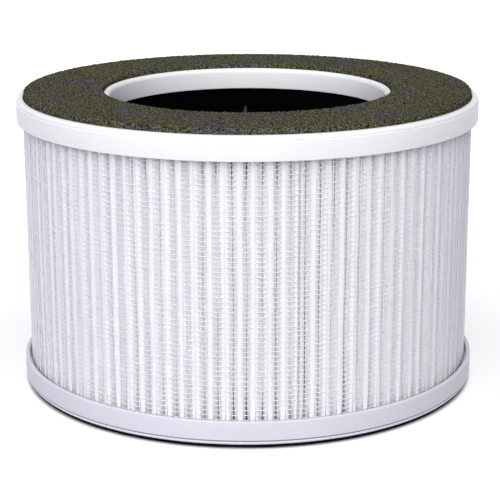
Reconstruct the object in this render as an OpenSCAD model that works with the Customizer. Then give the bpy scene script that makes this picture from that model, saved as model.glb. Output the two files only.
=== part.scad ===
// Cylindrical air purifier filter. Two moulded end caps hold a pleated filter strip, a net around it,
// and a carbon sleeve on a slotted core inside it. Each end cap carries a foam gasket ring.
// The origin is the centre of the face that the filter stands on, with +Z up and -Y to the front.

/* [Overall size] */
// Outside diameter of the end caps
cap_d = 190; // [160:1:240]
// Height from the rim of one end cap to the rim of the other
stack_h = 118.5; // [80:0.5:200]

/* [End caps] */
// Height of the skirt, from the rim to its free edge
skirt_h = 9.5; // [8:0.5:14]
// Height of the collar round the opening, from the rim to its free edge
collar_h = 8.3; // [7.5:0.1:12]
// Thickness of the outer skirt
skirt_t = 1.8; // [1.4:0.1:2.6]
// Thickness of the collar round the opening
collar_t = 1.6; // [1.2:0.1:2.2]
// Thickness of the web that joins the skirt to the collar
web_t = 1.8; // [1.2:0.1:2.4]
// Depth of the tray that the gasket lies in
tray_depth = 2; // [1:0.1:2.6]
// Width of the flat rim outside the tray
rim_w = 0.7; // [0.4:0.1:1.6]
// Radius of the rounded shoulder outside the rim
shoulder_r = 1.8; // [1:0.1:2.4]
// Step between the shoulder and the skirt
shoulder_step = 0.25; // [0.1:0.05:0.6]
// Width of the lip between the opening and the tray
lip_w = 2.5; // [2.2:0.1:4]
// Radius that rounds the lip into the opening
lip_r = 1.9; // [0.8:0.1:2]
// Height that the lip stands above the rim
lip_rise = 0.6; // [0:0.1:0.7]
// Radius on the free edges of the skirt and the collar
edge_r = 0.4; // [0.2:0.1:0.6]

/* [Gaskets] */
// Height that the top gasket stands above the rim
top_proud = 2.5; // [1:0.1:5]
// Height that the bottom gasket stands below the rim
bottom_proud = 1.4; // [0.8:0.1:4]
// Distance that the bottom gasket, squeezed by the filter's weight, spreads over the rim
bottom_spread = 1; // [0.2:0.1:1.4]
// Gap between a gasket and the walls of its tray
gasket_gap = 0.15; // [0.05:0.05:0.5]

/* [Glue beds] */
// Thickness of the glue bed under each web
bed_t = 3; // [1:0.1:3.4]

/* [Pleated strip] */
// Number of pleats, with the seam counted as one
pleats = 104; // [60:1:110]
// Depth of the pleats, from the crests to the inner folds
pleat_depth = 26.5; // [15:0.5:32]
// Thickness of the filter strip
strip_t = 0.7; // [0.4:0.05:0.8]
// Half the width of an outer fold, at the middle of the strip
outer_fold = 1.2; // [1:0.05:1.3]
// Half the width of an inner fold, at the middle of the strip
inner_fold = 0.75; // [0.6:0.05:0.8]
// Angle of the strip's seam to the right of the front
seam_angle = 12; // [0:1:180]
// Thickness of the glue between the two ends of the strip
seam_t = 2.2; // [1.6:0.1:2.4]
// Radial width of the glue between the two ends
seam_w = 12; // [6:0.5:16]
// Depth of the glue behind the ends of the strip
seam_inset = 0.8; // [0.4:0.1:2]

/* [Outer net] */
// Thickness of the net between its threads
net_t = 0.4; // [0.3:0.05:0.8]
// Height of a standing thread above the net
thread_h = 0.3; // [0.1:0.05:0.5]
// Width of a standing thread
thread_w = 0.6; // [0.4:0.1:1]
// Width of a gap in the net
gap_w = 3.4; // [2.2:0.1:3.6]
// Height of the closed band at each end of the net
net_band = 1.5; // [1:0.1:2.4]
// Width of the welded lap at the back of the net
lap_w = 8; // [6:0.5:14]

/* [Carbon sleeve and core] */
// Thickness of the carbon sleeve
sleeve_t = 5.6; // [3:0.1:7]
// Width of the glued slit down the back of the sleeve
slit_w = 2; // [1:0.1:4]
// Angle of the slit to the left of the back, as seen from the front
slit_angle = 1.2; // [0:0.1:8]
// Thickness of the core
core_t = 1.2; // [0.8:0.1:2]
// Height of the closed band at each end of the core
core_band = 9.5; // [6:0.5:14]
// Windows round the core
core_columns = 20; // [12:1:20]
// Rows of windows in the core
core_rows = 6; // [3:1:6]
// Width of the bars and hoops between the windows
bar_w = 3; // [2:0.1:4]

/* [Clearances] */
// Gap between one round layer and the next
layer_gap = 0.2; // [0.1:0.05:0.4]

/* [Hidden] */
$fn = 180;

// Radii, from the outside in
cap_r = cap_d / 2;
skirt_in_r = cap_r - skirt_t;
shoulder_x = cap_r - shoulder_step - shoulder_r;
tray_out_r = shoulder_x - rim_w;
thread_out_r = skirt_in_r - layer_gap;
net_out_r = thread_out_r - thread_h;
net_in_r = net_out_r - net_t;
strip_out_r = net_in_r - layer_gap / 2;
strip_in_r = strip_out_r - pleat_depth;
sleeve_out_r = strip_in_r - layer_gap;
sleeve_in_r = sleeve_out_r - sleeve_t;
core_out_r = sleeve_in_r - layer_gap;
core_in_r = core_out_r - core_t;
collar_out_r = core_in_r - layer_gap;
opening_r = collar_out_r - collar_t;
tray_in_r = opening_r + lip_w;

// Heights, from the standing face up
bottom_rim_z = bottom_proud;
top_rim_z = bottom_rim_z + stack_h;
web_in = tray_depth + web_t;
bed_depth = web_in + bed_t;
pack_z0 = bottom_rim_z + bed_depth;
pack_z1 = top_rim_z - bed_depth;
pack_h = pack_z1 - pack_z0;

// Colours
white = [0.93, 0.93, 0.95];
foam = [0.24, 0.24, 0.18];
glue = [0.86, 0.84, 0.76];
carbon = [0.05, 0.05, 0.05];

// Small overlap that lets a cut run clear of the face it starts from
cut = 1;

// A solid ring from radius r0 to r1, standing on z0
module ring(r0, r1, z0, h) {
    translate([0, 0, z0])
        difference() {
            cylinder(r = r1, h = h);
            translate([0, 0, -cut]) cylinder(r = r0, h = h + 2 * cut);
        }
}

// A flat rectangle between two corners
module panel(low, high) {
    translate(low) square(high - low);
}

// A quarter disc that rounds a corner. dir gives the side that it bulges to
module quarter(centre, r, dir) {
    translate(centre)
        intersection() {
            circle(r = r);
            translate([dir[0] > 0 ? 0 : -r, dir[1] > 0 ? 0 : -r]) square(r);
        }
}

// A wall from radius x0 to x1 whose lower corners are rounded
module hanging_wall(x0, x1, z0, z1) {
    panel([x0, z0 + edge_r], [x1, z1]);
    panel([x0 + edge_r, z0], [x1 - edge_r, z0 + edge_r]);
    quarter([x0 + edge_r, z0 + edge_r], edge_r, [-1, -1]);
    quarter([x1 - edge_r, z0 + edge_r], edge_r, [1, -1]);
}

// Half section of an end cap, with the rim at 0 and the free edges below it
module cap_section() {
    hanging_wall(skirt_in_r, cap_r, -skirt_h, -shoulder_r);
    hanging_wall(opening_r, collar_out_r, -collar_h, lip_rise - lip_r);
    panel([opening_r, -web_in], [skirt_in_r + edge_r, -tray_depth]);
    panel([tray_out_r, -web_in], [shoulder_x, 0]);
    panel([shoulder_x, -web_in], [cap_r - shoulder_step, -shoulder_r]);
    quarter([shoulder_x, -shoulder_r], shoulder_r, [1, 1]);
    panel([opening_r, -web_in], [tray_in_r, lip_rise - lip_r]);
    panel([opening_r + lip_r, -web_in], [tray_in_r, lip_rise]);
    quarter([opening_r + lip_r, lip_rise - lip_r], lip_r, [-1, 1]);
}

// End cap: one moulding with a skirt, a web, a tray for the gasket and a collar round the opening
module end_cap() {
    color(white) rotate_extrude() cap_section();
}

module top_cap() {
    translate([0, 0, top_rim_z]) end_cap();
}

module bottom_cap() {
    translate([0, 0, bottom_rim_z]) mirror([0, 0, 1]) end_cap();
}

// Foam ring that lies in the tray of an end cap
module gasket(z0, h) {
    ring(tray_in_r + gasket_gap, tray_out_r - gasket_gap, z0, h);
}

module top_gasket() {
    color(foam) gasket(top_rim_z - tray_depth, tray_depth + top_proud);
}

module bottom_gasket() {
    color(foam) {
        gasket(0, tray_depth + bottom_proud);
        ring(tray_in_r + gasket_gap, tray_out_r + bottom_spread, 0, bottom_proud);
    }
}

// Glue poured between the skirt and the collar, which the ends of the layers stand in
module glue_bed(z0) {
    color(glue) ring(collar_out_r, skirt_in_r, z0, bed_t);
}

module top_glue_bed() {
    glue_bed(pack_z1);
}

module bottom_glue_bed() {
    glue_bed(pack_z0 - bed_t);
}

// The pleated strip is drawn round the circle from one of its ends to the other.
pitch = 360 / pleats;
crest_r = strip_out_r - strip_t / 2;
root_r = strip_in_r + strip_t / 2;
fold_round = 0.75;
fold_flat = 0.45;
end_offset = (seam_t + strip_t) / 2;

function polar(r, a) = [r * cos(a), r * sin(a)];
function unit(v) = v / norm(v);
function left(v) = [-v[1], v[0]];

// Four points round a fold of half width w. Its top is at radius r and its sides start at r + rise
function fold(r, rise, w, a) =
    let (half = asin(w / r))
    [polar(r + rise, a - half), polar(r, a - half * fold_flat),
        polar(r, a + half * fold_flat), polar(r + rise, a + half)];

function inner_bend(k) = fold(root_r, inner_fold * fold_round, inner_fold, (k + 0.5) * pitch);
function outer_bend(k) = fold(crest_r, -outer_fold * fold_round, outer_fold, (k + 1) * pitch);

// An end of the strip, level with the outer folds. side is 1 or -1 of the seam
function strip_end(side) = [sqrt(pow(crest_r, 2) - pow(end_offset, 2)), side * end_offset];

strip_line = concat(
    [strip_end(1)],
    [for (k = [0 : pleats - 1]) each concat(inner_bend(k), k < pleats - 1 ? outer_bend(k) : [])],
    [strip_end(-1)]);

// The point i of a line, moved sideways by d so that both stretches that meet there move by d
function moved(line, i, d) =
    let (last = len(line) - 1)
    let (before = left(unit(line[max(i, 1)] - line[max(i, 1) - 1])))
    let (after = left(unit(line[min(i, last - 1) + 1] - line[min(i, last - 1)])))
    let (between = unit(before + after))
    line[i] + between * d / (between * before);

function side_line(line, d) = [for (i = [0 : len(line) - 1]) moved(line, i, d)];
function backwards(line) = [for (i = [len(line) - 1 : -1 : 0]) line[i]];

// Turns a layer so that its +X side is where the strip's seam is
module at_seam() {
    rotate([0, 0, seam_angle - 90]) children();
}

// Filter strip folded into a ring of pleats, with its two ends side by side at the seam
module pleated_strip() {
    color(white)
        at_seam()
            translate([0, 0, pack_z0])
                linear_extrude(pack_h)
                    polygon(concat(side_line(strip_line, strip_t / 2),
                        backwards(side_line(strip_line, -strip_t / 2))));
}

// Glue that fills the narrow gap between the two ends of the strip
module strip_seam_glue() {
    near = side_line(strip_line, strip_t / 2);
    along = unit(near[1] - near[0]);
    outer = near[0] + along * seam_inset;
    inner = outer + along * seam_w;
    color(glue)
        at_seam()
            translate([0, 0, pack_z0])
                linear_extrude(pack_h)
                    polygon([outer, inner, [inner[0], -inner[1]], [outer[0], -outer[1]]]);
}

// True where the gap k of the net would run into the lap at the back
function in_lap(k) =
    let (back = 180 - seam_angle)
    abs((k + 0.5) * pitch - back) / 360 * 2 * PI * net_out_r < lap_w / 2;

// Outline of the net: a thin wall with a standing thread on each pleat
module net_outline() {
    thread_in_r = net_out_r - net_t / 2;
    difference() {
        circle(r = net_out_r);
        circle(r = net_in_r);
    }
    for (k = [0 : pleats - 1])
        rotate(k * pitch)
            translate([thread_in_r, -thread_w / 2])
                square([thread_out_r - thread_in_r, thread_w]);
}

// Outline of the gaps of the net, one between each two threads
module net_gaps() {
    for (k = [0 : pleats - 1])
        if (!in_lap(k))
            rotate((k + 0.5) * pitch)
                translate([net_in_r - cut, -gap_w / 2])
                    square([net_t + 2 * cut, gap_w]);
}

// Net pulled round the pleats, with a closed band at each end and a welded lap at the back
module outer_net() {
    color(white)
        at_seam()
            translate([0, 0, pack_z0]) {
                linear_extrude(net_band) net_outline();
                translate([0, 0, net_band])
                    linear_extrude(pack_h - 2 * net_band)
                        difference() {
                            net_outline();
                            net_gaps();
                        }
                translate([0, 0, pack_h - net_band]) linear_extrude(net_band) net_outline();
            }
}

// Turns a layer so that its +X side is where the slit is, near the back
module at_slit() {
    rotate([0, 0, 90 + slit_angle]) children();
}

// A block that fills the slit of the sleeve and runs clear of its faces
module slit_block(extra) {
    translate([sleeve_in_r - extra, -slit_w / 2, pack_z0 - extra])
        cube([sleeve_t + 2 * extra, slit_w, pack_h + 2 * extra]);
}

// Carbon cloth rolled once round the core, with a slit where its ends meet
module carbon_sleeve() {
    color(carbon)
        at_slit()
            difference() {
                ring(sleeve_in_r, sleeve_out_r, pack_z0, pack_h);
                slit_block(cut);
            }
}

// Glue that fills the slit of the sleeve
module sleeve_seam_glue() {
    color(glue)
        at_slit()
            intersection() {
                ring(sleeve_in_r, sleeve_out_r, pack_z0, pack_h);
                translate([0, -slit_w / 2, pack_z0]) cube([sleeve_out_r + cut, slit_w, pack_h]);
            }
}

// Core that holds the layers out against the suction: a tube with rows of windows
module inner_core() {
    column = 360 / core_columns;
    window_w = 2 * PI * core_in_r / core_columns - bar_w;
    row = (pack_h - 2 * core_band + bar_w) / core_rows;
    color(carbon)
        at_slit()
            difference() {
                ring(core_in_r, core_out_r, pack_z0, pack_h);
                for (i = [0 : core_columns - 1], j = [0 : core_rows - 1])
                    rotate([0, 0, i * column])
                        translate([core_in_r - cut, -window_w / 2, pack_z0 + core_band + j * row])
                            cube([core_t + 2 * cut, window_w, row - bar_w]);
            }
}

top_cap();
bottom_cap();
top_gasket();
bottom_gasket();
top_glue_bed();
bottom_glue_bed();
pleated_strip();
strip_seam_glue();
outer_net();
carbon_sleeve();
sleeve_seam_glue();
inner_core();
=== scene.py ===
import math

import bpy
from bpy.props import FloatProperty, FloatVectorProperty, IntProperty, PointerProperty
from mathutils import Matrix, Vector, noise


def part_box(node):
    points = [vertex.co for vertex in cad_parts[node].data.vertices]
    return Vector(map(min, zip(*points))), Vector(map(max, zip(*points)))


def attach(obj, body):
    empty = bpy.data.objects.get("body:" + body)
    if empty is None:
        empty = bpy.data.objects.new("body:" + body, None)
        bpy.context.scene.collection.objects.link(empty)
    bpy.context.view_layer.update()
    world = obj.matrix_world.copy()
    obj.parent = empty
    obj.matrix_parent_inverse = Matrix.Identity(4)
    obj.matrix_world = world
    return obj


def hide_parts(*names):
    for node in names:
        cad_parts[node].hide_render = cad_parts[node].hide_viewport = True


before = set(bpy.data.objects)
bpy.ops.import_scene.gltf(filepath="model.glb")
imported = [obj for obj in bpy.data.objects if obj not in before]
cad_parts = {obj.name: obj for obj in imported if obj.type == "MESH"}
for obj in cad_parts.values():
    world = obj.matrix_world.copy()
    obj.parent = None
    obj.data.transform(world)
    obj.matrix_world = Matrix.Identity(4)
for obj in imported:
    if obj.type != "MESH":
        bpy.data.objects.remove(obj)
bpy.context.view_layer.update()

bl_info = {
    "name": "Air Purifier Filter",
    "version": (1, 0, 0),
    "blender": (4, 5, 0),
    "location": "View3D > Sidebar > Filter",
    "description": "Makes the caps, gaskets, pleats, net and finishes of a round filter cartridge",
    "category": "Object",
}

MM = 0.001
BODY = "root"
# Faces round a cap or a plain ring
ROUND_STEPS = 360
# Kinds of input of a node group
FLOAT = "NodeSocketFloat"
WHOLE = "NodeSocketInt"
FINISH = "NodeSocketMaterial"
COLOUR = "NodeSocketColor"


def radii(node):
    """Least and greatest distance of a node's corners from the filter's axis."""
    reach = [math.hypot(v.co.x, v.co.y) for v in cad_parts[node].data.vertices]
    return min(reach), max(reach)


def heights(node):
    """Lowest and highest point of a node."""
    low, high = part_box(node)
    return low[2], high[2]


OPENING_R, CAP_R = radii("top_cap")
GASKET_IN_R, GASKET_OUT_R = radii("top_gasket")
STRIP_IN_R, STRIP_OUT_R = radii("pleated_strip")
BOTTOM_LIP_Z, BOTTOM_SKIRT_Z = heights("bottom_cap")
TOP_SKIRT_Z, TOP_LIP_Z = heights("top_cap")
PACK_LOW_Z, PACK_HIGH_Z = heights("pleated_strip")


# Small tools that the pieces share


def finished(name, mesh, material=None):
    """Links a mesh as a piece of the filter, at the origin, riding on its one body."""
    piece = bpy.data.objects.new(name, mesh)
    bpy.context.scene.collection.objects.link(piece)
    if material:
        mesh.materials.clear()
        mesh.materials.append(material)
    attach(piece, BODY)
    return piece


def revolved(name, outline, steps):
    """Mesh of a closed outline of (radius, height) points, turned round the axis."""
    corners = len(outline)
    points = []
    for step in range(steps):
        turn = 2 * math.pi * step / steps
        points += [(r * math.cos(turn), r * math.sin(turn), z) for r, z in outline]
    faces = []
    for step in range(steps):
        here, there = step * corners, (step + 1) % steps * corners
        for i in range(corners):
            j = (i + 1) % corners
            faces.append((here + i, there + i, there + j, here + j))
    mesh = bpy.data.meshes.new(name)
    mesh.from_pydata(points, [], faces)
    return mesh


def shade_smooth(mesh, sharp_degrees):
    """Smooth shading, with an edge left sharp where its faces turn by more than the angle."""
    mesh.shade_smooth()
    mesh.set_sharp_from_angle(angle=math.radians(sharp_degrees))


def rounded(corners, steps=6):
    """An outline from (radius, height, rounding) corners, each turned into an arc."""
    outline = []
    for i, (r, z, rounding) in enumerate(corners):
        here = Vector((r, z))
        if rounding == 0:
            outline.append((r, z))
            continue
        before = (Vector(corners[i - 1][:2]) - here).normalized()
        after = (Vector(corners[(i + 1) % len(corners)][:2]) - here).normalized()
        half = before.angle(after) / 2
        centre = here + (before + after).normalized() * rounding / math.sin(half)
        start = here + before * rounding / math.tan(half) - centre
        sweep = start.angle_signed(here + after * rounding / math.tan(half) - centre)
        for step in range(steps + 1):
            point = centre + Matrix.Rotation(-sweep * step / steps, 2) @ start
            outline.append((point.x, point.y))
    return outline


def placed(tree, kind, inputs=None, **settings):
    """Adds a node to a tree, sets its properties, and sets or links its inputs."""
    node = tree.nodes.new(kind)
    for name, value in settings.items():
        setattr(node, name, value)
    for name, value in (inputs or {}).items():
        if isinstance(value, bpy.types.NodeSocket):
            tree.links.new(value, node.inputs[name])
        else:
            node.inputs[name].default_value = value
    return node


def worked(tree, operation, first, second=0.0, third=0.0):
    """Result of a Math node on numbers or sockets."""
    inputs = {0: first, 1: second, 2: third}
    return placed(tree, "ShaderNodeMath", inputs, operation=operation).outputs[0]


def spread(tree, value, low, high, start=0.0, end=1.0):
    """Value between start and end, stretched to run from low to high."""
    inputs = {"Value": value, 1: start, 2: end, 3: low, 4: high}
    return placed(tree, "ShaderNodeMapRange", inputs).outputs[0]


def blended(tree, share, first, second):
    """Mix of two colours, given as numbers or as sockets."""
    colours = [value if isinstance(value, bpy.types.NodeSocket) else (*value, 1) for value in (first, second)]
    inputs = {0: share, 6: colours[0], 7: colours[1]}
    return placed(tree, "ShaderNodeMix", inputs, data_type="RGBA").outputs[2]


def object_place(tree):
    """Coordinates of a shaded point on the object itself."""
    return placed(tree, "ShaderNodeTexCoord").outputs["Object"]


def geometry_tree(name, inputs):
    """A geometry node tree with named inputs, given as {name: (socket type, default)}."""
    tree = bpy.data.node_groups.new(name, "GeometryNodeTree")
    face = tree.interface
    face.new_socket("Geometry", in_out="OUTPUT", socket_type="NodeSocketGeometry")
    for label, (kind, default) in inputs.items():
        socket = face.new_socket(label, in_out="INPUT", socket_type=kind)
        if default is not None:
            socket.default_value = default
    given = tree.nodes.new("NodeGroupInput").outputs
    return tree, given, tree.nodes.new("NodeGroupOutput").inputs[0]


def close_tree(tree, shape, material, result):
    """Ends a geometry node tree: real corners and faces, with the material on them."""
    real = placed(tree, "GeometryNodeRealizeInstances", {0: shape.outputs[0]})
    done = placed(tree, "GeometryNodeSetMaterial", {0: real.outputs[0], "Material": material})
    tree.links.new(done.outputs[0], result)


def grown(name, tree, values, material, sharp_degrees):
    """Runs a geometry node tree with the values given, and keeps the result as a plain mesh."""
    seed = bpy.data.objects.new(name, bpy.data.meshes.new(name))
    bpy.context.scene.collection.objects.link(seed)
    modifier = seed.modifiers.new(name, "NODES")
    modifier.node_group = tree
    values = {**values, "Material": material}
    for item in tree.interface.items_tree:
        if item.in_out == "INPUT" and item.name in values:
            modifier[item.identifier] = values[item.name]
    scene = bpy.context.evaluated_depsgraph_get()
    mesh = bpy.data.meshes.new_from_object(seed.evaluated_get(scene), depsgraph=scene)
    bpy.data.objects.remove(seed)
    mesh.name = name
    shade_smooth(mesh, sharp_degrees)
    return finished(name, mesh)


# Effects that several finishes share


def shader_group(name, inputs, outputs):
    """A shader node group with named inputs and outputs."""
    tree = bpy.data.node_groups.new(name, "ShaderNodeTree")
    for label, (kind, default) in inputs.items():
        socket = tree.interface.new_socket(label, in_out="INPUT", socket_type=kind)
        socket.default_value = default
    for label, kind in outputs.items():
        tree.interface.new_socket(label, in_out="OUTPUT", socket_type=kind)
    return tree, tree.nodes.new("NodeGroupInput").outputs, tree.nodes.new("NodeGroupOutput")


def grain_group():
    """Soft specks of a given width, from 0 to 1."""
    name = "Grain"
    if name in bpy.data.node_groups:
        return bpy.data.node_groups[name]
    tree, given, result = shader_group(name, {"Width": (FLOAT, MM)}, {"Mask": FLOAT})
    scale = worked(tree, "DIVIDE", 1, given["Width"])
    specks = placed(tree, "ShaderNodeTexNoise", {"Vector": object_place(tree), "Scale": scale, "Detail": 2.0})
    tree.links.new(specks.outputs["Fac"], result.inputs["Mask"])
    return tree


def drift_group():
    """Two colours that wander into each other over a given width."""
    name = "Colour Drift"
    if name in bpy.data.node_groups:
        return bpy.data.node_groups[name]
    inputs = {
        "First": (COLOUR, (1, 1, 1, 1)),
        "Second": (COLOUR, (1, 1, 1, 1)),
        "Width": (FLOAT, 20 * MM),
    }
    tree, given, result = shader_group(name, inputs, {"Colour": COLOUR})
    scale = worked(tree, "DIVIDE", 1, given["Width"])
    clouds = placed(tree, "ShaderNodeTexNoise", {"Vector": object_place(tree), "Scale": scale, "Detail": 3.0})
    share = spread(tree, clouds.outputs["Fac"], 0.0, 1.0, 0.35, 0.65)
    tree.links.new(blended(tree, share, given["First"], given["Second"]), result.inputs["Colour"])
    return tree


def grain(tree, width):
    """Places the grain group in a material."""
    node = placed(tree, "ShaderNodeGroup", node_tree=grain_group())
    node.inputs["Width"].default_value = width
    return node.outputs["Mask"]


def drift(tree, first, second, width):
    """Places the colour drift group in a material."""
    node = placed(tree, "ShaderNodeGroup", node_tree=drift_group())
    node.inputs["First"].default_value = (*first, 1)
    node.inputs["Second"].default_value = (*second, 1)
    node.inputs["Width"].default_value = width
    return node.outputs["Colour"]


def relief(tree, height, distance, strength=1.0):
    """Bump normal of a height from 0 to 1 that stands for the distance given."""
    inputs = {"Height": height, "Distance": distance, "Strength": strength}
    return placed(tree, "ShaderNodeBump", inputs).outputs["Normal"]


def blank_material(name):
    """A new material with a bare Principled shader, and its tree."""
    material = bpy.data.materials.new(name)
    material.use_nodes = True
    tree = material.node_tree
    return material, tree, tree.nodes["Principled BSDF"].inputs


def shade(colour, factor):
    """A colour made darker or lighter."""
    return tuple(channel * factor for channel in colour)


# Finishes, one for each material of the filter


def cap_plastic(name, colour):
    """Moulded white plastic with a satin gloss."""
    material, tree, shader = blank_material(name)
    tree.links.new(drift(tree, colour, shade(colour, 0.975), 30 * MM), shader["Base Color"])
    fine = grain(tree, 0.5 * MM)
    tree.links.new(spread(tree, fine, 0.30, 0.42), shader["Roughness"])
    tree.links.new(relief(tree, fine, 0.012 * MM), shader["Normal"])
    return material


def paint_crease_shadow_and_bounce(material, colour, crease_z, width):
    """Paints shade on a plastic along a crease at one height, for the shadow under the skirt's edge, and
    paints it paler below, for light bounced up from the floor.
    """
    tree = material.node_tree
    base = tree.nodes["Principled BSDF"].inputs["Base Color"]
    height = placed(tree, "ShaderNodeSeparateXYZ", {0: object_place(tree)}).outputs[2]
    # Painted bounce light: below the crease the plastic is mixed towards a paler colour
    under = spread(tree, height, 1.0, 0.0, crease_z - width, crease_z)
    pale = blended(tree, under, base.links[0].from_socket, shade(colour, 1.3))
    # Painted shadow: a dark line along the crease
    off = worked(tree, "ABSOLUTE", worked(tree, "SUBTRACT", height, crease_z))
    line = spread(tree, off, 1.0, 0.0, width / 2, width)
    tree.links.new(blended(tree, line, pale, shade(colour, 0.4)), base)


def filter_paper(colour, painted_fold_colour, painted_fold_depth):
    """Matt white fibre fleece, with shade painted a little darker down in the folds than on the crests."""
    material, tree, shader = blank_material("filter_paper")
    flat = placed(tree, "ShaderNodeVectorMath", {0: object_place(tree), 1: (1, 1, 0)}, operation="MULTIPLY")
    away = placed(tree, "ShaderNodeVectorMath", {0: flat.outputs[0]}, operation="LENGTH").outputs["Value"]
    # Painted shade: the colour turns towards the fold colour deeper in the folds
    painted_fold_shade = spread(tree, away, 1.0, 0.0, STRIP_OUT_R - painted_fold_depth, STRIP_OUT_R - painted_fold_depth / 6)
    crest = drift(tree, colour, shade(colour, 0.97), 6 * MM)
    tree.links.new(blended(tree, painted_fold_shade, crest, painted_fold_colour), shader["Base Color"])
    fibre = grain(tree, 0.3 * MM)
    tree.links.new(spread(tree, fibre, 0.85, 1.0), shader["Roughness"])
    tree.links.new(relief(tree, fibre, 0.06 * MM), shader["Normal"])
    shader["Specular IOR Level"].default_value = 0.2
    return material


def net_thread(colour):
    """White thread with a dull shine."""
    material, tree, shader = blank_material("net_thread")
    tree.links.new(drift(tree, colour, shade(colour, 0.96), 4 * MM), shader["Base Color"])
    fine = grain(tree, 0.25 * MM)
    tree.links.new(spread(tree, fine, 0.4, 0.6), shader["Roughness"])
    tree.links.new(relief(tree, fine, 0.02 * MM), shader["Normal"])
    return material


def foam(name, colour, cool, cell_w):
    """Open-cell foam: pale cell walls, dark pores, and patches of a cooler grey."""
    material, tree, shader = blank_material(name)
    cells = placed(tree, "ShaderNodeTexVoronoi", {"Vector": object_place(tree), "Scale": 1 / cell_w})
    wide_patch = spread(tree, grain(tree, 18 * MM), 0.0, 0.7, 0.5, 0.58)
    small_patch = spread(tree, grain(tree, 4 * MM), 0.0, 0.4, 0.52, 0.64)
    body = blended(tree, worked(tree, "MAXIMUM", wide_patch, small_patch), colour, cool)
    specks = spread(tree, grain(tree, 0.45 * MM), 0.6, 2.6, 0.4, 0.64)
    pores = spread(tree, cells.outputs["Distance"], 1.15, 0.18, 0.3, 0.75)
    light = worked(tree, "MULTIPLY", specks, pores)
    grey = placed(tree, "ShaderNodeCombineColor", {0: light, 1: light, 2: light}).outputs[0]
    both = placed(tree, "ShaderNodeMix", {0: 1.0, 6: body, 7: grey}, data_type="RGBA", blend_type="MULTIPLY")
    tree.links.new(both.outputs[2], shader["Base Color"])
    tree.links.new(relief(tree, cells.outputs["Distance"], -0.2 * MM), shader["Normal"])
    shader["Roughness"].default_value = 0.95
    shader["Specular IOR Level"].default_value = 0.05
    return material


def set_glue(colour):
    """Pale glue, set hard, with small swirls."""
    material, tree, shader = blank_material("set_glue")
    tree.links.new(drift(tree, colour, shade(colour, 0.85), 8 * MM), shader["Base Color"])
    fine = grain(tree, 1.5 * MM)
    tree.links.new(spread(tree, fine, 0.3, 0.5), shader["Roughness"])
    tree.links.new(relief(tree, fine, 0.1 * MM), shader["Normal"])
    return material


def seam_glue(colour, run_x, low_z, high_z):
    """Glue coloured almost black, with one paler streak down it, which bends to the right between the two
    heights.
    """
    material, tree, shader = blank_material("seam_glue")
    spot = placed(tree, "ShaderNodeSeparateXYZ", {0: object_place(tree)}).outputs
    climb = worked(tree, "POWER", spread(tree, spot[2], 0.0, 1.0, low_z, high_z), 2.0)
    middle = worked(tree, "MULTIPLY_ADD", climb, 0.75 * MM, run_x)
    off = worked(tree, "ABSOLUTE", worked(tree, "SUBTRACT", spot[0], middle))
    run = spread(tree, off, 1.0, 0.0, 0.2 * MM, 0.65 * MM)
    tree.links.new(blended(tree, run, shade(colour, 0.015), shade(colour, 0.12)), shader["Base Color"])
    tree.links.new(spread(tree, grain(tree, 1.5 * MM), 0.5, 0.8), shader["Roughness"])
    shader["Specular IOR Level"].default_value = 0.1
    return material


def black_layer(name, colour, grain_width, depth):
    """Matt black cloth or plastic."""
    material, tree, shader = blank_material(name)
    tree.links.new(drift(tree, colour, shade(colour, 0.6), 5 * MM), shader["Base Color"])
    fine = grain(tree, grain_width)
    tree.links.new(spread(tree, fine, 0.8, 1.0), shader["Roughness"])
    tree.links.new(relief(tree, fine, depth), shader["Normal"])
    shader["Specular IOR Level"].default_value = 0.03
    return material


# End caps


def cap_outline(size, skirt_h):
    """Half section of an end cap, with its rim at height 0 and its free edges below."""
    web = -size.tray_depth - size.web_t
    shoulder_x = CAP_R - size.shoulder_step - size.shoulder_r
    lip_out_r = OPENING_R + size.lip_w
    fine = size.fine_r
    return rounded([
        (CAP_R, -skirt_h, size.edge_r),
        (CAP_R, -size.shoulder_r - size.crease_w / 2, fine),
        (CAP_R - size.shoulder_step - size.crease_w / 2, -size.shoulder_r, 0),
        (CAP_R - size.shoulder_step, -size.shoulder_r + size.crease_w / 2, fine / 2),
        (CAP_R - size.shoulder_step, 0, size.shoulder_r - size.crease_w),
        (shoulder_x - size.rim_w, 0, fine),
        (shoulder_x - size.rim_w, -size.tray_depth, fine),
        (lip_out_r, -size.tray_depth, fine),
        (lip_out_r, size.lip_rise, size.lip_outer_r),
        (OPENING_R, size.lip_rise, size.lip_r),
        (OPENING_R, -size.collar_h, size.edge_r),
        (OPENING_R + size.collar_t, -size.collar_h, size.edge_r),
        (OPENING_R + size.collar_t, web, fine),
        (CAP_R - size.skirt_t, web, fine),
        (CAP_R - size.skirt_t, -skirt_h, size.edge_r),
    ])


def end_cap(name, size, rim_z, up, skirt_h, material):
    """One end cap as a smooth moulding. up is 1 for the top and -1 for the bottom."""
    outline = [(r, rim_z + up * z) for r, z in cap_outline(size, skirt_h)]
    if up < 0:
        outline.reverse()
    mesh = revolved(name, outline, ROUND_STEPS)
    shade_smooth(mesh, sharp_degrees=50)
    return finished(name, mesh, material)


# Gaskets


# The section of the foam ring, from the foot of its outer wall, up, inwards over its top, and back:
# the share of the steps used up so far, the share of the width and the share of the height
FOAM_SECTION = (
    (0.0, 1.0, 0.0), (0.09, 1.0, 0.88), (0.12, 0.985, 1.0), (0.9, 0.015, 1.0),
    (0.92, 0.0, 0.88), (0.96, 0.0, 0.0), (1.0, 1.0, 0.0),
)


def float_curve(tree, value, points):
    """Looks a value up on a line of straight runs through the points listed."""
    node = placed(tree, "ShaderNodeFloatCurve", {"Value": value})
    curve = node.mapping.curves[0]
    while len(curve.points) < len(points):
        curve.points.new(0.5, 0.5)
    for point, (x, y) in zip(curve.points, points):
        point.location = (x, y)
        point.handle_type = "VECTOR"
    node.mapping.update()
    return node.outputs[0]


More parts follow.
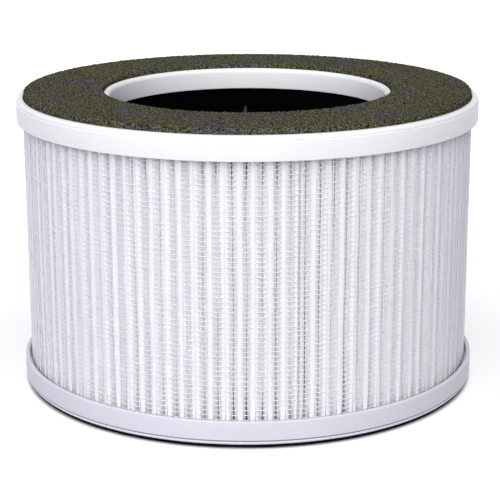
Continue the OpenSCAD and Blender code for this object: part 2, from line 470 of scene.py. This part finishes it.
def foam_tree():
    """Ring of foam whose skin stands out in small lumps, with most of its steps on the top."""
    tree, given, result = geometry_tree("Foam Ring", {
        "Inner Radius": (FLOAT, None),
        "Outer Radius": (FLOAT, None),
        "Low": (FLOAT, None),
        "High": (FLOAT, None),
        "Cell Width": (FLOAT, None),
        "Lump Height": (FLOAT, None),
        "Steps Round": (WHOLE, None),
        "Steps Along": (WHOLE, None),
        "Material": (FINISH, None),
    })
    width = worked(tree, "SUBTRACT", given["Outer Radius"], given["Inner Radius"])
    height = worked(tree, "SUBTRACT", given["High"], given["Low"])
    steps = placed(tree, "GeometryNodeCurvePrimitiveCircle", {"Resolution": given["Steps Along"]})
    index = placed(tree, "GeometryNodeInputIndex").outputs[0]
    share = worked(tree, "SUBTRACT", 1, worked(tree, "DIVIDE", index, given["Steps Along"]))
    across = float_curve(tree, share, [(row[0], row[1]) for row in FOAM_SECTION])
    up = float_curve(tree, share, [(row[0], row[2]) for row in FOAM_SECTION])
    corner = placed(tree, "ShaderNodeCombineXYZ", {
        0: worked(tree, "MULTIPLY", width, across),
        1: worked(tree, "MULTIPLY", worked(tree, "MULTIPLY_ADD", height, up, given["Low"]), -1)})
    section = placed(tree, "GeometryNodeSetPosition", {
        "Geometry": steps.outputs[0], "Position": corner.outputs[0]})
    hoop = placed(tree, "GeometryNodeCurvePrimitiveCircle", {
        "Resolution": given["Steps Round"], "Radius": given["Inner Radius"]})
    ring = placed(tree, "GeometryNodeCurveToMesh", {
        "Curve": hoop.outputs[0], "Profile Curve": section.outputs[0]})
    cells = placed(tree, "ShaderNodeTexVoronoi", {"Scale": worked(tree, "DIVIDE", 1, given["Cell Width"])})
    depth = worked(tree, "MULTIPLY", cells.outputs["Distance"],
                   worked(tree, "MULTIPLY", given["Lump Height"], -1))
    normal = placed(tree, "GeometryNodeInputNormal").outputs[0]
    push = placed(tree, "ShaderNodeVectorMath", {0: normal, "Scale": depth}, operation="SCALE")
    skin = placed(tree, "GeometryNodeSetPosition", {"Geometry": ring.outputs[0], "Offset": push.outputs[0]})
    close_tree(tree, skin, given["Material"], result)
    return tree


def pressed_foam(name, size, material):
    """Foam ring squeezed in its tray, whose edge spreads unevenly over the rim."""
    low, high = heights("bottom_gasket")
    spread_r = radii("bottom_gasket")[1]
    rim_z = BOTTOM_LIP_Z + size.rim_drop
    mesh = revolved(name, rounded([
        (spread_r, low, size.corner / 2),
        (spread_r, rim_z, size.corner / 2),
        (GASKET_OUT_R, rim_z, 0),
        (GASKET_OUT_R, high, size.corner),
        (GASKET_IN_R, high, size.corner),
        (GASKET_IN_R, low, size.corner),
    ]), ROUND_STEPS)
    for vertex in mesh.vertices:
        out = Vector((vertex.co.x, vertex.co.y, 0))
        if out.length > GASKET_OUT_R + size.corner:
            vertex.co -= out.normalized() * abs(noise.noise(out / (6 * MM))) * size.ragged
    shade_smooth(mesh, sharp_degrees=50)
    return finished(name, mesh, material)


# Pleated strip


# Half a pleat, from the middle of its crest to the middle of its valley: the share of the depth that
# the paper stands at, and its turn in pleats where the valley is pinched shut and where it gapes
HALF_FOLD = (
    (1.0, 0.0, 0.0), (0.9985, 0.08, 0.08), (0.9945, 0.155, 0.15), (0.987, 0.225, 0.215),
    (0.977, 0.285, 0.265), (0.963, 0.33, 0.3), (0.948, 0.365, 0.32), (0.937, 0.4, 0.335),
    (0.93, 0.445, 0.35), (0.926, 0.494, 0.375), (0.65, 0.496, 0.44), (0.0, 0.5, 0.5),
)


def pleat_tree():
    """A strip folded into a ring of pleats, a little uneven, with a thickness."""
    tree, given, result = geometry_tree("Pleated Ring", {
        "Pleats": (WHOLE, None),
        "Steps": (WHOLE, None),
        "Rows": (WHOLE, None),
        "Inner Radius": (FLOAT, None),
        "Outer Radius": (FLOAT, None),
        "Low": (FLOAT, None),
        "High": (FLOAT, None),
        "Thickness": (FLOAT, None),
        "Start Angle": (FLOAT, None),
        "End Trim": (FLOAT, None),
        "Unevenness": (FLOAT, None),
        "Gape": (FLOAT, None),
        "Mouth Gape": (FLOAT, None),
        "Gape Height": (FLOAT, None),
        "Seed": (FLOAT, None),
        "Material": (FINISH, None),
    })
    columns = worked(tree, "MULTIPLY_ADD", given["Pleats"], given["Steps"], 1)
    sheet = placed(tree, "GeometryNodeMeshGrid", {
        "Size X": 1.0, "Size Y": 1.0, "Vertices X": columns, "Vertices Y": given["Rows"]})
    place = placed(tree, "ShaderNodeSeparateXYZ", {
        0: placed(tree, "GeometryNodeInputPosition").outputs[0]})
    along = worked(tree, "ADD", place.outputs[0], 0.5)
    up = worked(tree, "ADD", place.outputs[1], 0.5)
    trimmed = spread(tree, along, given["End Trim"], worked(tree, "SUBTRACT", 1, given["End Trim"]))
    pleat = worked(tree, "MULTIPLY", trimmed, given["Pleats"])
    whole = worked(tree, "FLOOR", pleat)
    phase = worked(tree, "FRACT", pleat)
    other_half = [(share, 1 - pinched, 1 - gaping) for share, pinched, gaping in reversed(HALF_FOLD[:-1])]
    fold = [*HALF_FOLD, *other_half]
    reach, pinched, gaping = (
        float_curve(tree, phase, [(i / (len(fold) - 1), row[column]) for i, row in enumerate(fold)])
        for column in range(3))
    # Each valley gapes near the caps, and here and there between them
    valley = worked(tree, "FLOOR", worked(tree, "ADD", pleat, 0.5))
    odd = placed(tree, "ShaderNodeCombineXYZ", {
        0: worked(tree, "MULTIPLY", valley, 3.7), 1: worked(tree, "MULTIPLY", up, 2.2)})
    chance = placed(tree, "ShaderNodeTexNoise", {
        "Vector": odd.outputs[0], "W": given["Seed"], "Scale": 1.0, "Detail": 0.0}, noise_dimensions="4D")
    to_cap = worked(tree, "MINIMUM", up, worked(tree, "SUBTRACT", 1, up))
    mouth = spread(tree, to_cap, 1.0, 0.0, 0.0, given["Gape Height"])
    gape = worked(tree, "ADD", worked(tree, "MULTIPLY", mouth, given["Mouth Gape"]),
                  spread(tree, chance.outputs["Fac"], 0.0, given["Gape"], 0.35, 0.7))
    turn = placed(tree, "ShaderNodeMix", {0: gape, 2: pinched, 3: gaping})
    # Each fold strays by its number and slowly up its height, but not at the strip's two ends
    spot = placed(tree, "ShaderNodeCombineXYZ", {
        0: worked(tree, "MULTIPLY", pleat, 0.8), 1: worked(tree, "MULTIPLY", up, 1.6)})
    stray = placed(tree, "ShaderNodeTexNoise", {
        "Vector": spot.outputs[0], "W": given["Seed"], "Scale": 1.0, "Detail": 1.0}, noise_dimensions="4D")
    swing = worked(tree, "MULTIPLY", worked(tree, "SUBTRACT", stray.outputs["Fac"], 0.5), given["Unevenness"])
    ends = worked(tree, "MULTIPLY", worked(tree, "PINGPONG", along, 0.5), 50)
    calm = worked(tree, "MINIMUM", ends, 1)
    passed = worked(tree, "ADD", worked(tree, "ADD", whole, turn.outputs["Result"]),
                    worked(tree, "MULTIPLY", swing, calm))
    bearing = worked(tree, "MULTIPLY_ADD", worked(tree, "DIVIDE", passed, given["Pleats"]), 2 * math.pi,
                     given["Start Angle"])
    depth = worked(tree, "SUBTRACT", given["Outer Radius"], given["Inner Radius"])
    radius = worked(tree, "MULTIPLY_ADD", depth, reach, given["Inner Radius"])
    height = worked(tree, "SUBTRACT", given["High"], given["Low"])
    corner = placed(tree, "ShaderNodeCombineXYZ", {
        0: worked(tree, "MULTIPLY", radius, worked(tree, "COSINE", bearing)),
        1: worked(tree, "MULTIPLY", radius, worked(tree, "SINE", bearing)),
        2: worked(tree, "MULTIPLY_ADD", height, up, given["Low"])})
    folded = placed(tree, "GeometryNodeSetPosition", {
        "Geometry": sheet.outputs[0], "Position": corner.outputs[0]})
    inward = placed(tree, "GeometryNodeFlipFaces", {0: folded.outputs[0]})
    back = placed(tree, "GeometryNodeExtrudeMesh", {
        "Mesh": inward.outputs[0], "Offset Scale": given["Thickness"], "Individual": False})
    both = placed(tree, "GeometryNodeJoinGeometry")
    tree.links.new(folded.outputs[0], both.inputs[0])
    tree.links.new(back.outputs[0], both.inputs[0])
    shell = placed(tree, "GeometryNodeMergeByDistance", {0: both.outputs[0], "Distance": 0.0001 * MM})
    close_tree(tree, shell, given["Material"], result)
    return tree


# Net


def net_tree():
    """Hoops and standing threads of a fine net, with a second layer where its ends lap."""
    tree, given, result = geometry_tree("Net", {
        "Radius": (FLOAT, None),
        "Low": (FLOAT, None),
        "High": (FLOAT, None),
        "Hoop Pitch": (FLOAT, None),
        "Standing Threads": (WHOLE, None),
        "Thread": (FLOAT, None),
        "Steps Round": (WHOLE, None),
        "Steps Up": (WHOLE, None),
        "Lap Angle": (FLOAT, None),
        "Lap At": (FLOAT, None),
        "Looseness": (FLOAT, None),
        "Seed": (FLOAT, None),
        "Material": (FINISH, None),
    })
    height = worked(tree, "SUBTRACT", given["High"], given["Low"])
    hoops = worked(tree, "FLOOR", worked(tree, "DIVIDE", height, given["Hoop Pitch"]))
    bottom = placed(tree, "ShaderNodeCombineXYZ", {"Z": given["Low"]}).outputs[0]
    top = placed(tree, "ShaderNodeCombineXYZ", {"Z": given["High"]}).outputs[0]
    levels = placed(tree, "GeometryNodeMeshLine", {
        "Count": hoops, "Start Location": bottom, "Offset": top}, mode="END_POINTS")
    hoop = placed(tree, "GeometryNodeCurvePrimitiveCircle", {
        "Resolution": given["Steps Round"], "Radius": given["Radius"]})
    rings = placed(tree, "GeometryNodeInstanceOnPoints", {0: levels.outputs[0], "Instance": hoop.outputs[0]})
    post = placed(tree, "GeometryNodeResampleCurve", {
        "Curve": placed(tree, "GeometryNodeCurvePrimitiveLine", {"Start": bottom, "End": top}).outputs[0],
        "Count": given["Steps Up"]})
    outside_r = worked(tree, "MULTIPLY_ADD", given["Thread"], 0.3, given["Radius"])
    stand = placed(tree, "GeometryNodeCurvePrimitiveCircle", {
        "Resolution": given["Standing Threads"], "Radius": outside_r})
    feet = placed(tree, "GeometryNodeCurveToPoints", {0: stand.outputs[0]}, mode="EVALUATED")
    posts = placed(tree, "GeometryNodeInstanceOnPoints", {0: feet.outputs[0], "Instance": post.outputs[0]})
    lap_r = worked(tree, "ADD", given["Thread"], outside_r)
    lap_start = worked(tree, "MULTIPLY_ADD", given["Lap Angle"], -0.5, given["Lap At"])
    lap = placed(tree, "GeometryNodeCurveArc", {
        "Resolution": 6, "Radius": lap_r, "Start Angle": lap_start, "Sweep Angle": given["Lap Angle"]})
    laps = placed(tree, "GeometryNodeInstanceOnPoints", {0: levels.outputs[0], "Instance": lap.outputs[0]})
    every = placed(tree, "GeometryNodeJoinGeometry")
    for part in (laps, posts, rings):
        tree.links.new(part.outputs[0], every.inputs[0])
    lines = placed(tree, "GeometryNodeRealizeInstances", {0: every.outputs[0]})
    # Each thread wanders a little, as a soft net does
    sway = placed(tree, "ShaderNodeTexNoise", {
        "W": given["Seed"], "Scale": 1 / (9 * MM), "Detail": 1.0}, noise_dimensions="4D")
    wander = placed(tree, "ShaderNodeVectorMath", {
        0: sway.outputs["Color"], 1: (0.5, 0.5, 0.5)}, operation="SUBTRACT")
    shift = placed(tree, "ShaderNodeVectorMath", {
        0: wander.outputs[0], "Scale": given["Looseness"]}, operation="SCALE")
    loose = placed(tree, "GeometryNodeSetPosition", {
        "Geometry": lines.outputs[0], "Offset": shift.outputs[0]})
    section = placed(tree, "GeometryNodeCurvePrimitiveCircle", {
        "Resolution": 4, "Radius": worked(tree, "MULTIPLY", given["Thread"], 0.5)})
    threads = placed(tree, "GeometryNodeCurveToMesh", {
        "Curve": loose.outputs[0], "Profile Curve": section.outputs[0], "Fill Caps": True})
    close_tree(tree, threads, given["Material"], result)
    return tree


# Sizes and colours that a user would change


def length(name, description, default):
    """A length setting, in metres."""
    return FloatProperty(name=name, description=description, default=default, unit="LENGTH", precision=5)


def number(name, description, default):
    """A setting that is a plain number."""
    return FloatProperty(name=name, description=description, default=default, min=0)


def count(name, description, default, least=1):
    """A setting that is a whole number."""
    return IntProperty(name=name, description=description, default=default, min=least)


def angle(name, description, default):
    """An angle setting, in radians."""
    return FloatProperty(name=name, description=description, default=default, subtype="ANGLE", precision=4)


def tone(name, description, default):
    """A colour setting."""
    return FloatVectorProperty(name=name, description=description, default=default, subtype="COLOR",
                               min=0, max=1)


class FilterCaps(bpy.types.PropertyGroup):
    """Sizes and colours of the end caps"""

    skirt_t: length("Skirt", "Thickness of the outer skirt", 1.8 * MM)
    collar_t: length("Collar", "Thickness of the collar round the opening", 1.6 * MM)
    collar_h: length("Collar Height", "Height of the collar, from the rim to its free edge", 8.3 * MM)
    web_t: length("Web", "Thickness of the web between skirt and collar", 1.8 * MM)
    tray_depth: length("Tray", "Depth of the tray that the gasket lies in", 2 * MM)
    rim_w: length("Rim", "Width of the flat rim outside the tray", 0.7 * MM)
    shoulder_r: length("Shoulder", "Radius of the rounded shoulder outside the rim", 1.8 * MM)
    shoulder_step: length("Shoulder Step", "Step between the shoulder and the skirt", 0.25 * MM)
    crease_w: length("Crease", "Width of the crease between the shoulder and the skirt", 0.4 * MM)
    lip_w: length("Lip", "Width of the lip between the opening and the tray", 2.5 * MM)
    lip_r: length("Lip Rounding", "Radius that rounds the lip into the opening", 1.9 * MM)
    lip_rise: length("Lip Rise", "Height that the lip stands above the rim", 0.6 * MM)
    lip_outer_r: length("Lip Edge", "Radius on the lip's edge at the tray", 0.5 * MM)
    edge_r: length("Free Edges", "Radius on the free edges of the skirt and the collar", 0.4 * MM)
    fine_r: length("Fine Edges", "Radius on every other edge", 0.12 * MM)
    colour: tone("Top Plastic", "Colour of the top cap", (0.92, 0.915, 0.925))
    # Painted shade: the bottom cap is the same plastic as the top one, coloured darker and cooler for the
    # light it lacks
    painted_shade_colour: tone("Bottom Plastic", "Colour of the bottom cap, painted darker and cooler as shade", (0.72, 0.71, 0.78))


class FilterGaskets(bpy.types.PropertyGroup):
    """Sizes and colours of the foam rings"""

    corner: length("Corner", "Radius on the corners of the foam", 0.5 * MM)
    cell_w: length("Cell Width", "Width of a cell of the foam", 0.85 * MM)
    lump_h: length("Lump Height", "Height of the lumps in the foam's skin", 0.6 * MM)
    steps_round: count("Steps Round", "Faces round the top foam", 1040, least=12)
    steps_along: count("Steps Along", "Faces along the section of the top foam", 80, least=12)
    rim_drop: length("Rim Drop", "Height of the bottom cap's rim above its lip", 0.6 * MM)
    ragged: length("Ragged Edge", "Depth of the bottom foam's uneven edge", 0.5 * MM)
    colour: tone("Foam", "Main colour of the foam", (0.072, 0.07, 0.037))
    cool: tone("Cool Patches", "Colour of the cooler patches", (0.07, 0.061, 0.072))
    # Painted shadow: the bottom foam is the same foam as the top one, coloured near black for the contact
    # shadow under the bottom cap
    painted_shade_colour: tone("Bottom Foam", "Colour of the bottom foam", (0.008, 0.008, 0.009))


class FilterPleats(bpy.types.PropertyGroup):
    """Sizes and colours of the pleated strip"""

    pleats: count("Pleats", "Number of pleats", 104, least=20)
    steps: count("Steps", "Faces across a pleat", 22, least=8)
    rows: count("Rows", "Rows of corners up a pleat", 15, least=2)
    thickness: length("Paper", "Thickness of the filter strip", 0.6 * MM)
    seam_at: angle("Seam", "Angle of the seam, to the right of the front", math.radians(12))
    end_trim: number("End Trim", "Share of the strip that is left out at each side of the seam", 0.0005)
    unevenness: number("Unevenness", "How far a fold strays, in pleats", 0.5)
    gape: number("Gape", "How far some valleys stand open, from 0 to 1", 0.2)
    mouth_gape: number("Mouth Gape", "How far every valley stands open at the caps, from 0 to 1", 0.65)
    gape_height: number("Gape Height", "Share of the height near a cap where valleys stand open", 0.16)
    colour: tone("Paper Colour", "Colour of the filter strip", (0.91, 0.898, 0.908))
    # Painted shade: the colour deep in the folds, and the depth at which it is reached
    painted_fold_colour: tone("Fold Colour", "Colour of the strip down in its folds", (0.89, 0.877, 0.885))
    painted_fold_depth: length("Fold Depth", "Depth in a fold at which the strip has the fold colour", 2.2 * MM)
    seed: number("Seed", "Number that picks the pattern of the uneven folds", 3.0)


class FilterNet(bpy.types.PropertyGroup):
    """Sizes and colour of the net"""

    hoop_pitch: length("Hoop Pitch", "Distance from one level thread to the next", 1.87 * MM)
    post_pitch: length("Post Pitch", "Distance from one standing thread to the next", 2.25 * MM)
    thread: length("Thread", "Thickness of a thread", 0.42 * MM)
    lap_w: length("Lap", "Width of the lap at the back", 8 * MM)
    steps_round: count("Steps Round", "Straight runs in a level thread", 208, least=12)
    steps_up: count("Steps Up", "Corners up a standing thread", 13, least=2)
    looseness: length("Looseness", "How far a thread strays", 0.25 * MM)
    seed: number("Seed", "Number that picks the pattern of the loose threads", 5.0)
    colour: tone("Thread Colour", "Colour of the net", (0.85, 0.855, 0.9))


class FilterInside(bpy.types.PropertyGroup):
    """Colours of the inner layers and the glue"""

    carbon: tone("Carbon", "Colour of the carbon sleeve", (0.0012, 0.0012, 0.0012))
    core: tone("Core", "Colour of the core", (0.0012, 0.0012, 0.0013))
    glue: tone("Glue", "Colour of the glue", (0.86, 0.85, 0.84))
    run_shift: length("Run Shift", "Distance of the pale run of glue from the slit's middle", 0.25 * MM)
    run_low: length("Run Low", "Height at which the run starts to bend", 99.9 * MM)
    run_high: length("Run High", "Height at which the run stops bending", 103.6 * MM)


class FilterStage(bpy.types.PropertyGroup):
    """Camera, floor and light"""

    camera_away: length("Camera Away", "Distance of the camera in front of the axis", 654 * MM)
    camera_up: length("Camera Up", "Height of the camera", 231.4 * MM)
    camera_side: length("Camera Side", "Distance of the camera to the right of the axis", 0.95 * MM)
    camera_down: angle("Camera Down", "Angle that the camera looks down by", 0.268)
    camera_roll: angle("Camera Roll", "Angle that the camera is turned by", -0.0022)
    lens: number("Lens", "Focal length for a sensor 36 mm wide, in mm", 114.83)
    floor: tone("Floor", "Colour of the floor", (0.35, 0.35, 0.37))
    sky_front: number("Sky in Front", "Strength of the sky's light from the front", 1.35)
    sky_back: number("Sky Behind", "Strength of the sky's light from behind", 0.08)
    sky_right: number("Sky on the Right", "Share of the sky's light that is left on the right", 0.6)
    sky_side: tone("Sky at the Sides", "Colour of the sky's light from the sides", (0.55, 0.66, 0.92))
    front_power: number("Front Light", "Power of the lamp in front, in watts", 25)
    upper_power: number("Upper Light", "Power of the lamp above, in watts", 33)


# Stage

WHITE = (1, 1, 1)
# Half the side of the square floor, and the side and places of the softboxes, in metres
FLOOR_REACH = 3.0
SOFTBOX_W = 2.4
FRONT_LIGHT_AT = (-0.5, -3.0, 0.9)
UPPER_LIGHT_AT = (-0.2, -1.6, 2.6)


def seen_itself(tree):
    """1 where the camera sees a surface, also in a reflection, and 0 where it only lights others."""
    rays = placed(tree, "ShaderNodeLightPath").outputs
    mirrored = worked(tree, "MAXIMUM", rays["Is Glossy Ray"], rays["Is Transmission Ray"])
    return worked(tree, "MAXIMUM", rays["Is Camera Ray"], mirrored)


def floor_finish(colour):
    """Floor that takes the filter's shadow and reads as white."""
    material, tree, shader = blank_material("floor")
    tree.links.new(drift(tree, colour, shade(colour, 0.99), 0.5), shader["Base Color"])
    shader["Roughness"].default_value = 0.9
    shader["Specular IOR Level"].default_value = 0.0
    away = placed(tree, "ShaderNodeVectorMath", {0: object_place(tree)}, operation="LENGTH").outputs["Value"]
    # No glow under the filter, less of it in the filter's shadow than further out
    clear = spread(tree, away, 0.0, 1.0, CAP_R - 1.5 * MM, CAP_R + 0.5 * MM)
    glow = worked(tree, "MULTIPLY", clear, spread(tree, away, 0.72, 1.0, 0.11, 0.3))
    tree.links.new(worked(tree, "MULTIPLY", seen_itself(tree), glow), shader["Emission Strength"])
    shader["Emission Color"].default_value = (1, 1, 1, 1)
    return material


def lit_world(front, back, side_tint, right_share):
    """Soft light, strong from the front, weaker from the right and cooler from both sides, seen as white."""
    world = bpy.data.worlds.new("studio")
    world.use_nodes = True
    bpy.context.scene.world = world
    tree = world.node_tree
    seen = seen_itself(tree)
    place = placed(tree, "ShaderNodeTexCoord").outputs["Generated"]
    direction = placed(tree, "ShaderNodeSeparateXYZ", {0: place}).outputs
    strength = worked(tree, "MULTIPLY", spread(tree, direction["Y"], front, back, -0.6, 0.25),
                      spread(tree, direction["X"], 1.0, right_share, 0.2, 0.9))
    mix = placed(tree, "ShaderNodeMix", {0: seen, 2: strength, 3: 1.0})
    background = tree.nodes["Background"]
    tree.links.new(mix.outputs[0], background.inputs["Strength"])
    side = spread(tree, worked(tree, "ABSOLUTE", direction["X"]), 0.0, 1.0, 0.4, 1.0)
    hue = blended(tree, side, WHITE, side_tint)
    tree.links.new(blended(tree, seen, hue, WHITE), background.inputs["Color"])


def softbox(name, place, target, power):
    """A square area lamp that faces the target."""
    lamp = bpy.data.lights.new(name, "AREA")
    lamp.size = SOFTBOX_W
    lamp.energy = power
    box = bpy.data.objects.new(name, lamp)
    box.location = place
    box.rotation_euler = (Vector(target) - Vector(place)).to_track_quat("-Z", "Y").to_euler()
    bpy.context.scene.collection.objects.link(box)


# Operators


def finish_node(node, material):
    """Gives a node of the frame its finish."""
    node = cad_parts[node]
    node.data.materials.clear()
    node.data.materials.append(material)


class FILTER_OT_end_caps(bpy.types.Operator):
    """Make both end caps as smooth mouldings"""

    bl_idname = "filter.end_caps"
    bl_label = "End Caps"

    def execute(self, context):
        size = context.scene.filter_caps
        plastic = cap_plastic("cap_plastic", size.colour)
        top_rim_z = TOP_LIP_Z - size.lip_rise
        top = end_cap("top_cap_moulding", size, top_rim_z, 1, top_rim_z - TOP_SKIRT_Z, plastic)
        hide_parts("top_cap")
        # Painted shade: the bottom cap gets a darker, cooler copy of the plastic, with a painted crease
        # shadow and painted bounce light below it
        shaded = cap_plastic("cap_plastic_painted_shade", size.painted_shade_colour)
        bottom_rim_z = BOTTOM_LIP_Z + size.lip_rise
        paint_crease_shadow_and_bounce(shaded, size.painted_shade_colour, bottom_rim_z + size.shoulder_r, size.crease_w)
        skirt_h = BOTTOM_SKIRT_Z - bottom_rim_z
        bottom = end_cap("bottom_cap_moulding", size, bottom_rim_z, -1, skirt_h, shaded)
        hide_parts("bottom_cap")
        return {"FINISHED"}


class FILTER_OT_gaskets(bpy.types.Operator):
    """Make the two foam rings"""

    bl_idname = "filter.gaskets"
    bl_label = "Gaskets"

    def execute(self, context):
        size = context.scene.filter_gaskets
        low, high = heights("top_gasket")
        ring = grown("top_foam", foam_tree(), {
            "Inner Radius": GASKET_IN_R,
            "Outer Radius": GASKET_OUT_R,
            "Low": low,
            "High": high,
            "Cell Width": size.cell_w,
            "Lump Height": size.lump_h,
            "Steps Round": size.steps_round,
            "Steps Along": size.steps_along,
        }, foam("foam", size.colour, size.cool, size.cell_w), sharp_degrees=80)
        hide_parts("top_gasket")
        # Painted shadow: a near-black copy of the foam stands in for the contact shadow under the bottom cap
        dark = foam("foam_painted_shadow", size.painted_shade_colour, size.painted_shade_colour, size.cell_w)
        squeezed = pressed_foam("bottom_foam", size, dark)
        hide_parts("bottom_gasket")
        return {"FINISHED"}


class FILTER_OT_pleats(bpy.types.Operator):
    """Make the pleated strip"""

    bl_idname = "filter.pleats"
    bl_label = "Pleated Strip"

    def execute(self, context):
        size = context.scene.filter_pleats
        strip = grown("pleats", pleat_tree(), {
            "Pleats": size.pleats,
            "Steps": size.steps,
            "Rows": size.rows,
            "Inner Radius": STRIP_IN_R + size.thickness,
            "Outer Radius": STRIP_OUT_R,
            "Low": PACK_LOW_Z,
            "High": PACK_HIGH_Z,
            "Thickness": size.thickness,
            "Start Angle": size.seam_at - math.pi / 2,
            "End Trim": size.end_trim,
            "Unevenness": size.unevenness,
            "Gape": size.gape,
            "Mouth Gape": size.mouth_gape,
            "Gape Height": size.gape_height,
            "Seed": size.seed,
        }, filter_paper(size.colour, size.painted_fold_colour, size.painted_fold_depth), sharp_degrees=60)
        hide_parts("pleated_strip")
        return {"FINISHED"}


class FILTER_OT_net(bpy.types.Operator):
    """Make the net round the pleats"""

    bl_idname = "filter.net"
    bl_label = "Net"

    def execute(self, context):
        size = context.scene.filter_net
        radius = STRIP_OUT_R - size.thread * 0.4
        net = grown("fine_net", net_tree(), {
            "Radius": radius,
            "Low": PACK_LOW_Z + size.thread,
            "High": PACK_HIGH_Z - size.thread,
            "Hoop Pitch": size.hoop_pitch,
            "Standing Threads": round(2 * math.pi * radius / size.post_pitch),
            "Thread": size.thread,
            "Steps Round": size.steps_round,
            "Steps Up": size.steps_up,
            "Lap Angle": size.lap_w / radius,
            "Lap At": math.pi / 2,
            "Looseness": size.looseness,
            "Seed": size.seed,
        }, net_thread(size.colour), sharp_degrees=180)
        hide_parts("outer_net")
        return {"FINISHED"}


class FILTER_OT_inside(bpy.types.Operator):
    """Finish the layers behind the pleats and the glue"""

    bl_idname = "filter.inside"
    bl_label = "Inner Layers"

    def execute(self, context):
        size = context.scene.filter_inside
        finish_node("carbon_sleeve", black_layer("carbon_cloth", size.carbon, 0.8 * MM, 0.2 * MM))
        finish_node("inner_core", black_layer("core_plastic", size.core, 0.4 * MM, 0.02 * MM))
        glue = set_glue(size.glue)
        for node in ("top_glue_bed", "bottom_glue_bed", "strip_seam_glue"):
            finish_node(node, glue)
        low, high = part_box("sleeve_seam_glue")
        run_x = (low[0] + high[0]) / 2 + size.run_shift
        finish_node("sleeve_seam_glue", seam_glue(size.glue, run_x, size.run_low, size.run_high))
        return {"FINISHED"}


class FILTER_OT_stage(bpy.types.Operator):
    """Make the camera, the floor and the lamps"""

    bl_idname = "filter.stage"
    bl_label = "Stage"

    def execute(self, context):
        scene = context.scene
        size = scene.filter_stage
        scene.view_settings.view_transform = "Standard"
        camera = bpy.data.objects.new("camera", bpy.data.cameras.new("camera"))
        camera.data.sensor_width = 36
        camera.data.lens = size.lens
        camera.location = (size.camera_side, -size.camera_away, size.camera_up)
        down = Matrix.Rotation(math.pi / 2 - size.camera_down, 3, "X")
        roll = Matrix.Rotation(size.camera_roll, 3, "Z")
        camera.rotation_euler = (down @ roll).to_euler()
        scene.collection.objects.link(camera)
        scene.camera = camera
        mesh = bpy.data.meshes.new("floor")
        corners = [(-1, -1), (1, -1), (1, 1), (-1, 1)]
        mesh.from_pydata([(x * FLOOR_REACH, y * FLOOR_REACH, 0) for x, y in corners], [], [(0, 1, 2, 3)])
        mesh.materials.append(floor_finish(size.floor))
        floor = bpy.data.objects.new("floor", mesh)
        scene.collection.objects.link(floor)
        lit_world(size.sky_front, size.sky_back, size.sky_side, size.sky_right)
        middle = (0, 0, TOP_LIP_Z / 2)
        softbox("front_light", FRONT_LIGHT_AT, middle, size.front_power)
        softbox("upper_light", UPPER_LIGHT_AT, middle, size.upper_power)
        return {"FINISHED"}


class FILTER_PT_panel(bpy.types.Panel):
    """The filter's settings and operators"""

    bl_idname = "FILTER_PT_panel"
    bl_label = "Air Purifier Filter"
    bl_space_type = "VIEW_3D"
    bl_region_type = "UI"
    bl_category = "Filter"

    def draw(self, context):
        for name, group in SETTINGS.items():
            box = self.layout.box()
            settings = getattr(context.scene, name)
            for setting in group.__annotations__:
                box.prop(settings, setting)
        for operator in OPERATORS:
            self.layout.operator(operator.bl_idname)


SETTINGS = {
    "filter_caps": FilterCaps,
    "filter_gaskets": FilterGaskets,
    "filter_pleats": FilterPleats,
    "filter_net": FilterNet,
    "filter_inside": FilterInside,
    "filter_stage": FilterStage,
}
OPERATORS = (
    FILTER_OT_end_caps,
    FILTER_OT_gaskets,
    FILTER_OT_pleats,
    FILTER_OT_net,
    FILTER_OT_inside,
    FILTER_OT_stage,
)


def register():
    for name, group in SETTINGS.items():
        bpy.utils.register_class(group)
        setattr(bpy.types.Scene, name, PointerProperty(type=group))
    for operator in OPERATORS:
        bpy.utils.register_class(operator)
    bpy.utils.register_class(FILTER_PT_panel)


def unregister():
    bpy.utils.unregister_class(FILTER_PT_panel)
    for operator in reversed(OPERATORS):
        bpy.utils.unregister_class(operator)
    for name, group in reversed(SETTINGS.items()):
        delattr(bpy.types.Scene, name)
        bpy.utils.unregister_class(group)


def main():
    register()
    bpy.ops.filter.stage()
    bpy.ops.filter.end_caps()
    bpy.ops.filter.gaskets()
    bpy.ops.filter.pleats()
    bpy.ops.filter.net()
    bpy.ops.filter.inside()


if __name__ == "__main__":
    main()
